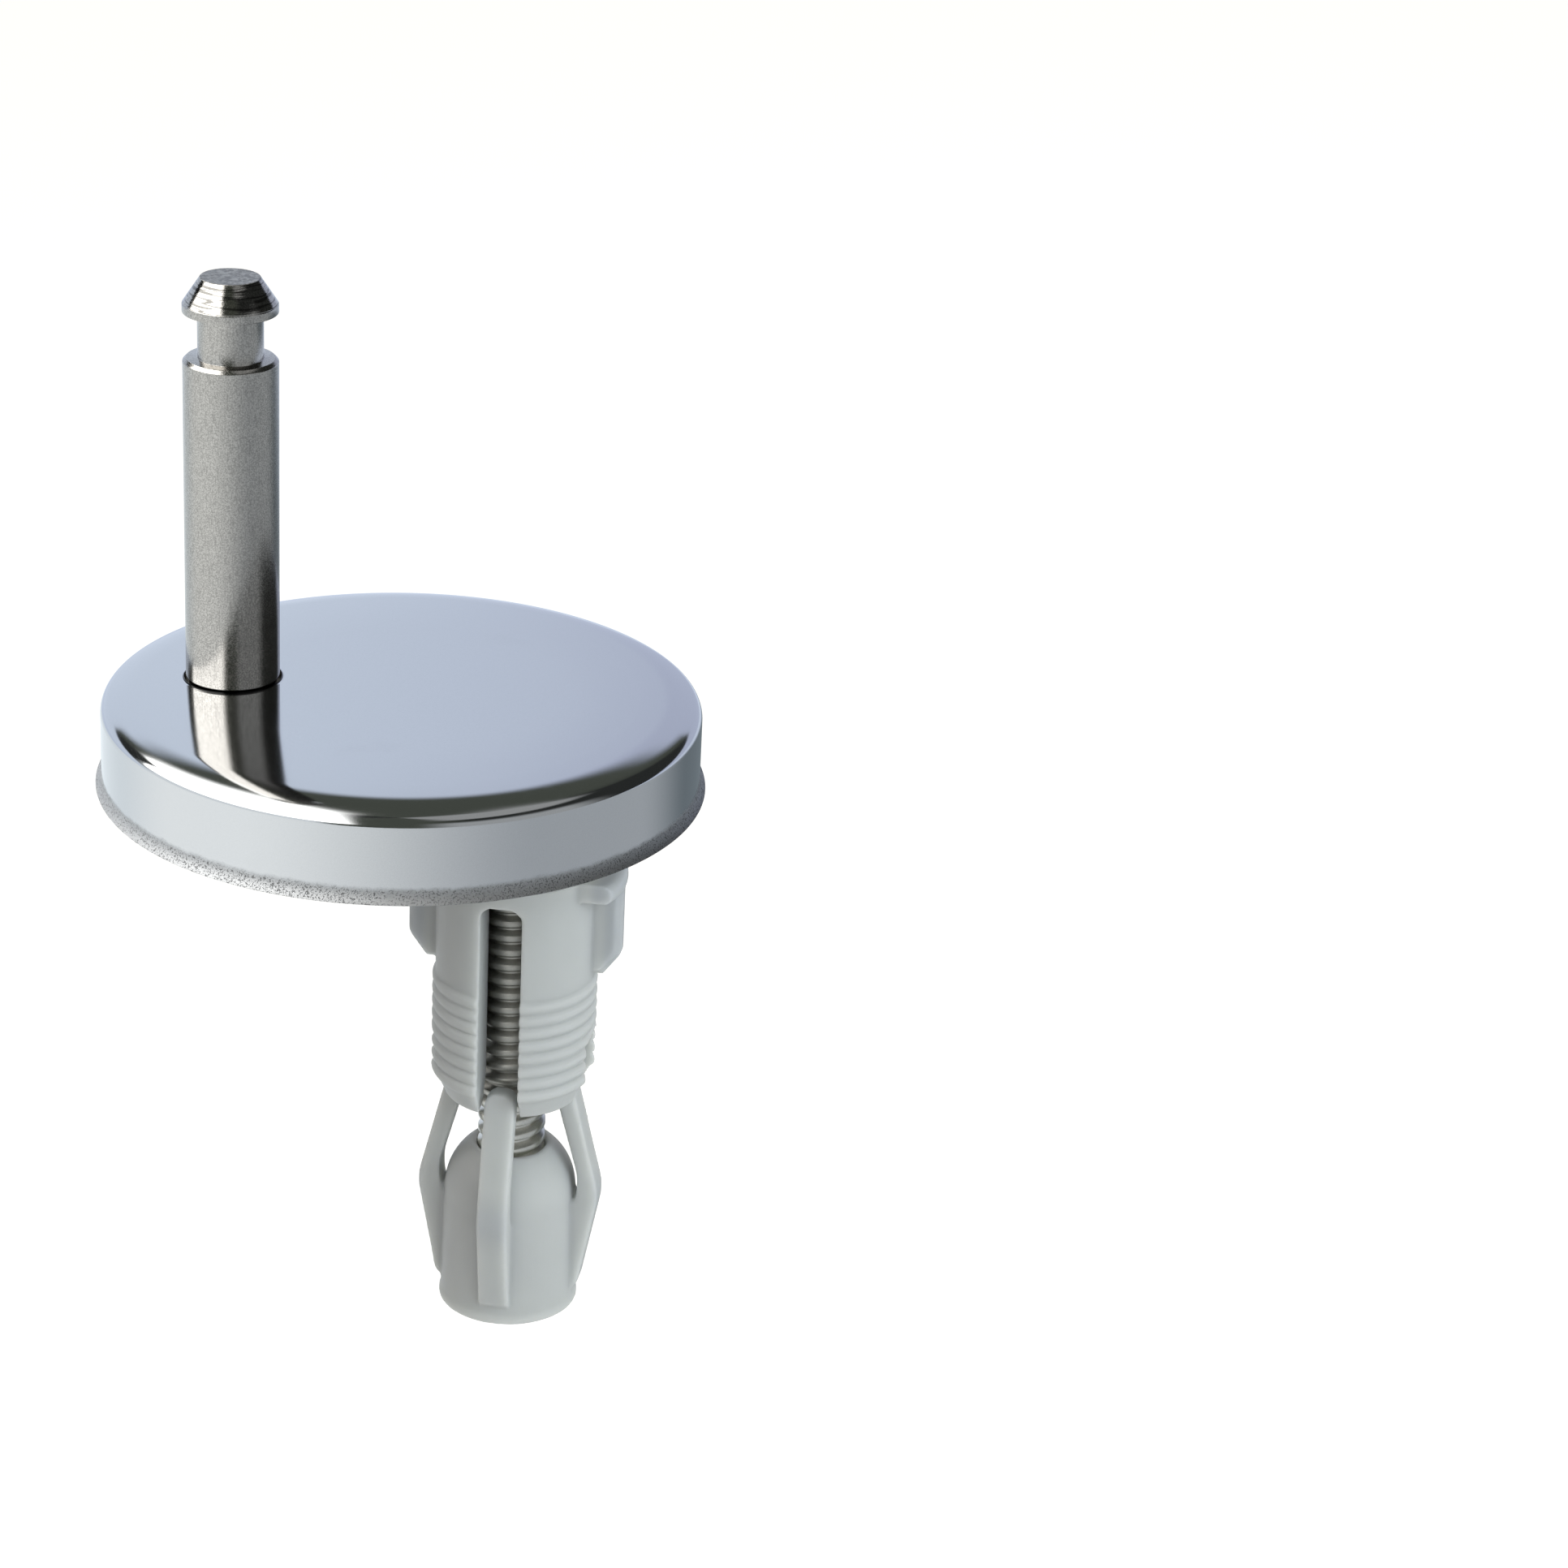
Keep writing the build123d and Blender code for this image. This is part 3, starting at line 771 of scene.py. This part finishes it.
class HINGE_OT_screw(bpy.types.Operator):
    """Make the fixing screw with its rolled thread"""

    bl_idname = "hinge.screw"
    bl_label = "Threaded screw"

    def execute(self, context):
        settings = context.scene.seat_hinge
        sizes = settings.thread
        mesh = copy_of("fixing_screw")
        cut(mesh, washer_top + sizes.head_start, keep=1)
        thread = self.thread(sizes)
        added = bpy.data.meshes.new("thread")
        thread.to_mesh(added)
        thread.free()
        mesh.from_mesh(added)
        bpy.data.meshes.remove(added)
        as_piece(mesh, "threaded_screw", "fixing_screw", rolled_steel(settings.finish))
        return {"FINISHED"}

    def thread(self, sizes):
        """A row of teeth turned once while it climbs one pitch, then cut to length."""
        flank = (sizes.pitch - sizes.crest - sizes.root) / 2
        soft = sizes.crest_round
        root_radius = sizes.radius - sizes.depth
        slant = soft * flank / sizes.depth
        tooth = [
            (root_radius, 0.0),
            (root_radius, sizes.root),
            (sizes.radius - soft, sizes.root + flank - slant),
            (sizes.radius, sizes.root + flank + soft),
            (sizes.radius, sizes.root + flank + sizes.crest - soft),
            (sizes.radius - soft, sizes.root + flank + sizes.crest + slant),
        ]
        start = screw_end - 2 * sizes.pitch
        teeth = round((washer_top - start) / sizes.pitch) + 2
        mesh = bmesh.new()
        points = [
            mesh.verts.new((radius, 0.0, start + index * sizes.pitch + rise))
            for index in range(teeth)
            for radius, rise in tooth
        ]
        edges = [mesh.edges.new(pair) for pair in zip(points, points[1:])]
        bmesh.ops.spin(
            mesh,
            geom=points + edges,
            axis=(0.0, 0.0, 1.0),
            dvec=(0.0, 0.0, sizes.pitch / sizes.steps),
            angle=FULL_TURN,
            steps=sizes.steps,
        )
        bmesh.ops.remove_doubles(mesh, verts=mesh.verts, dist=SAME_TOOTH)
        cut(mesh, washer_top + sizes.head_overlap, keep=-1)
        cut(mesh, screw_end, keep=1)
        chamfer_top = screw_end + sizes.end_chamfer
        everything = mesh.verts[:] + mesh.edges[:] + mesh.faces[:]
        bmesh.ops.bisect_plane(
            mesh,
            geom=everything,
            plane_co=(0.0, 0.0, chamfer_top),
            plane_no=(0.0, 0.0, 1.0),
        )
        for vert in mesh.verts:
            reach = Vector((vert.co.x, vert.co.y)).length
            limit = sizes.radius - max(chamfer_top - vert.co.z, 0.0)
            if reach > limit:
                vert.co.x *= limit / reach
                vert.co.y *= limit / reach
        return mesh


class HINGE_OT_plug(bpy.types.Operator):
    """Make the nylon sleeve and the expansion nut with soft moulded edges"""

    bl_idname = "hinge.plug"
    bl_label = "Nylon plug"

    def execute(self, context):
        settings = context.scene.seat_hinge
        sizes = settings.plug
        nylon = natural_nylon(settings.finish, sizes.sleeve_radius)
        self.moulded("moulded_sleeve", "plug_sleeve", sizes.grain, sizes.sleeve_rounds, nylon)
        self.moulded("moulded_nut", "expansion_nut", sizes.grain, sizes.nut_rounds, nylon)
        return {"FINISHED"}

    def moulded(self, name, node, grain, rounds, nylon):
        """Lay an even skin over a copy of the solid and smooth it, as a mould's edges are."""
        mesh = copy_of(node)
        rough = bpy.data.meshes.new(name + "_rough")
        mesh.to_mesh(rough)
        mesh.free()
        blank = bpy.data.objects.new(name + "_rough", rough)
        bpy.context.scene.collection.objects.link(blank)
        skin = blank.modifiers.new("skin", "REMESH")
        skin.mode = "VOXEL"
        skin.voxel_size = grain
        skin.use_smooth_shade = True
        soft = blank.modifiers.new("soft", "SMOOTH")
        soft.factor = 0.5
        soft.iterations = rounds
        graph = bpy.context.evaluated_depsgraph_get()
        data = bpy.data.meshes.new_from_object(blank.evaluated_get(graph))
        bpy.data.objects.remove(blank)
        data.name = name
        low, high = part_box(node)
        for vert in data.vertices:
            vert.co = [min(max(vert.co[axis], low[axis]), high[axis]) for axis in range(3)]
        data.materials.clear()
        data.materials.append(nylon)
        piece = bpy.data.objects.new(name, data)
        bpy.context.scene.collection.objects.link(piece)
        stand_in(piece, node)


class HINGE_OT_base(bpy.types.Operator):
    """Dress the base plate, its pad and screw, and the slider and washer"""

    bl_idname = "hinge.base"
    bl_label = "Base and clamp"

    def execute(self, context):
        finish = context.scene.seat_hinge.finish
        plated = plated_steel(finish)
        dressed = {
            "base_plate": ("moulded_base", white_plastic(finish)),
            "base_pad": ("rubber_pad", pad_rubber(finish)),
            "pin_screw": ("countersunk_screw", rolled_steel(finish)),
            "slot_slider": ("clamp_slider", plated),
            "flat_washer": ("plated_washer", plated),
        }
        for node, (name, material) in dressed.items():
            as_piece(copy_of(node), name, node, material)
        return {"FINISHED"}


class HINGE_OT_stage(bpy.types.Operator):
    """Add the floor, the soft light and the camera"""

    bl_idname = "hinge.stage"
    bl_label = "Studio"

    def execute(self, context):
        sizes = context.scene.seat_hinge.studio
        self.camera(context, sizes)
        self.world(context, sizes)
        self.floor(context, sizes)
        self.key(context, sizes)
        context.scene.view_settings.view_transform = "Standard"
        return {"FINISHED"}

    def camera(self, context, sizes):
        """The camera where the photograph was taken from."""
        lens = bpy.data.cameras.new("camera")
        lens.sensor_width = 36.0
        lens.lens = sizes.lens
        lens.clip_start = 0.01
        camera = bpy.data.objects.new("camera", lens)
        heading = Matrix.Rotation(sizes.heading, 4, "Z")
        pitch = Matrix.Rotation(pi / 2 + sizes.pitch, 4, "X")
        roll = Matrix.Rotation(sizes.roll, 4, "Z")
        place = Matrix.Translation((sizes.camera_right, sizes.camera_back, sizes.camera_high))
        camera.matrix_world = place @ heading @ pitch @ roll
        context.scene.collection.objects.link(camera)
        context.scene.camera = camera

    def world(self, context, sizes):
        """White for the camera, even light on the object and a dim room in its gloss."""
        world = bpy.data.worlds.new("studio")
        context.scene.world = world
        sheet = Sheet(world)
        gloss = self.mirrored_room(sheet)
        seen = sheet.mix(sheet.ray_is("Glossy"), scaled(SKY_TINT, sizes.sky), gloss)
        straight = sheet.ray_is("Camera").either(sheet.ray_is("Transmission"))
        seen = sheet.mix(straight, seen, WHITE)
        background = sheet.node("ShaderNodeBackground", sockets={"Color": seen, "Strength": 1.0})
        sheet.node("ShaderNodeOutputWorld", sockets={"Surface": background})

    def mirrored_room(self, sheet):
        """What the gloss reflects: dim walls, pale panels and a bright card on the left.

        The bearing runs from +Y towards +X and the height up from level, both in degrees, and each
        soft step gives the two angles between which a panel's edge fades.
        """
        ray = sheet.node("ShaderNodeTexCoord", output="Generated")
        east, north, up = (sheet.part(ray, axis) for axis in "XYZ")
        bearing = sheet.bearing(east, north)
        height = up.math("ARCSINE", up) * DEGREES

        far_wall = sheet.fall(abs(bearing + 10.0), 22.0, 40.0)
        near_wall = sheet.rise(abs(bearing), 135.0, 160.0)
        gloss = sheet.mix(near_wall.either(far_wall), DARK_WALL, GREY_WALL)

        spread = (27.0 - height).either(0.0)
        left = -32.0 - spread * 2.4
        right = 12.0 + spread * 2.0
        backdrop = sheet.rise(bearing - left, -3.0, 3.0) * sheet.fall(bearing - right, -3.0, 3.0)
        backdrop = backdrop * sheet.fall(height, 29.0, 39.0)
        tint = sheet.mix(sheet.rise(bearing, -15.0, 1.0), BACKDROP_LEFT, BACKDROP_RIGHT)
        gloss = sheet.mix(backdrop, gloss, tint)

        ceiling = sheet.rise(height, 52.0, 60.0) * sheet.band(bearing, (0.0, 20.0), (140.0, 160.0))
        gloss = sheet.mix(ceiling, gloss, CEILING)

        wing = sheet.band(bearing, (84.0, 108.0), (148.0, 166.0)) * sheet.fall(height, 24.0, 42.0)
        gloss = sheet.mix(wing, gloss, WING)

        sill = (37.0 - (-68.0 - bearing).either(0.0) * 2.0).either(14.0)
        above_sill = height - sill
        panel = sheet.band(bearing, (-169.0, -155.0), (-90.0, -70.0)) * sheet.fall(above_sill, -3.0, 3.0)
        gloss = sheet.mix(panel, gloss, LOW_PANEL)

        card = sheet.fall(east + up * 0.06, -0.225, -0.065) * sheet.rise(above_sill, -2.0, 2.0)
        card = card * sheet.fall(east + north - up * 0.29, -0.12, 0.10)
        return sheet.mix(card, gloss, CARD)

    def floor(self, context, sizes):
        """A wide floor: white for the camera, tinted in the gloss and clear from below."""
        mesh = bmesh.new()
        place = Matrix.Translation((0.0, 0.0, nut_foot - sizes.floor_drop))
        bmesh.ops.create_grid(mesh, x_segments=1, y_segments=1, size=sizes.floor_size / 2, matrix=place)
        data = bpy.data.meshes.new("floor")
        mesh.to_mesh(data)
        mesh.free()
        material, sheet = new_sheet("pale_floor")
        tinted = sheet.node("ShaderNodeEmission", sockets={"Color": self.floor_tint(sheet), "Strength": 1.0})
        paper = sheet.node("ShaderNodeBsdfDiffuse", sockets={"Color": rgba(PAPER)})
        glow = sheet.node("ShaderNodeEmission", sockets={"Strength": sizes.floor_glow})
        white = sheet.node("ShaderNodeAddShader", sockets={0: paper, 1: glow})
        shown = sheet.blend(sheet.ray_is("Camera"), paper, white)
        shown = sheet.blend(sheet.ray_is("Glossy"), shown, tinted)
        below = sheet.node("ShaderNodeNewGeometry", output="Backfacing")
        shown = sheet.blend(below, shown, sheet.node("ShaderNodeBsdfTransparent"))
        sheet.node("ShaderNodeOutputMaterial", sockets={"Surface": shown})
        data.materials.append(material)
        floor = bpy.data.objects.new("floor", data)
        context.scene.collection.objects.link(floor)

    def floor_tint(self, sheet):
        """The floor's colour in the gloss, by the degrees round from -Y towards +X, and far behind."""
        across, along = (sheet.part(sheet.place(), axis) for axis in "XY")
        around = sheet.bearing(across, 0.0 - along)
        tint = sheet.mix(sheet.rise(around, -55.0, 60.0), FLOOR_FRONT_LEFT, FLOOR_FRONT_RIGHT)
        tint = sheet.mix(sheet.fall(around, -120.0, -80.0), tint, FLOOR_BACK_LEFT)
        tint = sheet.mix(sheet.rise(around, 106.0, 146.0), tint, FLOOR_BACK_RIGHT)
        return sheet.mix(sheet.rise(along, 0.20, 0.45), tint, FLOOR_FAR)

    def key(self, context, sizes):
        """A large soft light on the right, in front of the object."""
        light = bpy.data.lights.new("key", "AREA")
        light.shape = "DISK"
        light.size = sizes.key_size
        light.energy = sizes.key
        light.color = sizes.key_colour
        lamp = bpy.data.objects.new("key", light)
        place = Vector((sizes.key_right, sizes.key_back, sizes.key_high))
        lamp.matrix_world = Matrix.Translation(place) @ place.to_track_quat("Z", "Y").to_matrix().to_4x4()
        lamp.visible_glossy = False
        context.scene.collection.objects.link(lamp)


class HINGE_PT_sidebar(bpy.types.Panel):
    """Lists the operators and the sizes that they use"""

    bl_idname = "HINGE_PT_sidebar"
    bl_label = "Seat hinge"
    bl_space_type = "VIEW_3D"
    bl_region_type = "UI"
    bl_category = "Seat hinge"

    def draw(self, context):
        for step in STEPS:
            self.layout.operator(step.bl_idname)
        settings = context.scene.seat_hinge
        for group in ("cover", "pin", "thread", "plug", "finish", "studio"):
            box = self.layout.box()
            sizes = getattr(settings, group)
            for name in sizes.__annotations__:
                box.prop(sizes, name)


STEPS = (HINGE_OT_stage, HINGE_OT_cover, HINGE_OT_pin, HINGE_OT_screw, HINGE_OT_plug, HINGE_OT_base)
GROUPS = (CoverSizes, PinSizes, ThreadSizes, PlugSizes, Finishes, StudioSizes, HingeSettings)


def register():
    for part in (*GROUPS, *STEPS, HINGE_PT_sidebar):
        bpy.utils.register_class(part)
    bpy.types.Scene.seat_hinge = PointerProperty(type=HingeSettings)


def unregister():
    del bpy.types.Scene.seat_hinge
    for part in reversed((*GROUPS, *STEPS, HINGE_PT_sidebar)):
        bpy.utils.unregister_class(part)


def main():
    register()
    for step in STEPS:
        family, name = step.bl_idname.split(".")
        getattr(getattr(bpy.ops, family), name)()


if __name__ == "__main__":
    main()
